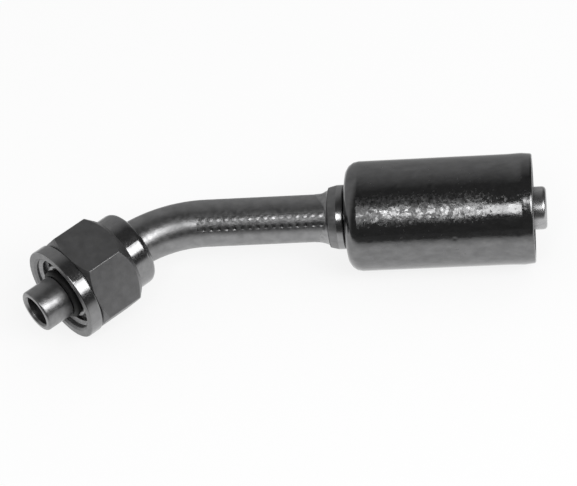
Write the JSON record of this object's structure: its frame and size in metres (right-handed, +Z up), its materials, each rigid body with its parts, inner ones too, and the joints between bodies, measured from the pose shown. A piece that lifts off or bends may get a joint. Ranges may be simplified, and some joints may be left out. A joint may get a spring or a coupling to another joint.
{
  "type": "bent swivel hose end",
  "caption": "Bent steel hose end: swivel hex nut and sealing pilot at one end, barbed stem with a captive uncrimped ferrule at the other.",
  "frame": {"origin": "under the middle of the bounding box, on the plane that the fitting lies on", "axes": "+X along the stem and the ferrule towards the hose, +Z up; the bend turns the nut end towards -Y"},
  "size_m": [0.1028, 0.0368, 0.0221],
  "materials": {
    "plated_tube": "zinc plated, bright with fine grip marks",
    "plated_nut": "zinc plated, satin dark",
    "plated_stem": "zinc plated, turned bright",
    "plated_ferrule": "zinc plated, drawn and lightly scratched",
    "braze": "plated braze metal, uneven",
    "seal": "black rubber, matt"
  },
  "bodies": {
    "tube_and_stem": {"elbow_tube": "plated_tube", "hose_stem": "plated_stem", "braze_fillet": "braze", "pilot_o_ring": "seal"},
    "nut": {"swivel_nut": "plated_nut"},
    "ferrule": {"ferrule": "plated_ferrule"}
  },
  "joints": [
    {"name": "nut_spin", "type": "hinge", "parent": "tube_and_stem", "child": "nut", "pos_m": [-0.03928, -0.00629, 0.01051], "axis": [-0.7071, -0.7066, -0.0277], "continuous": true},
    {"name": "ferrule_spin", "type": "hinge", "parent": "tube_and_stem", "child": "ferrule", "pos_m": [0.03044, 0.00735, 0.01104], "axis": [1, 0, 0], "continuous": true}
  ]
}
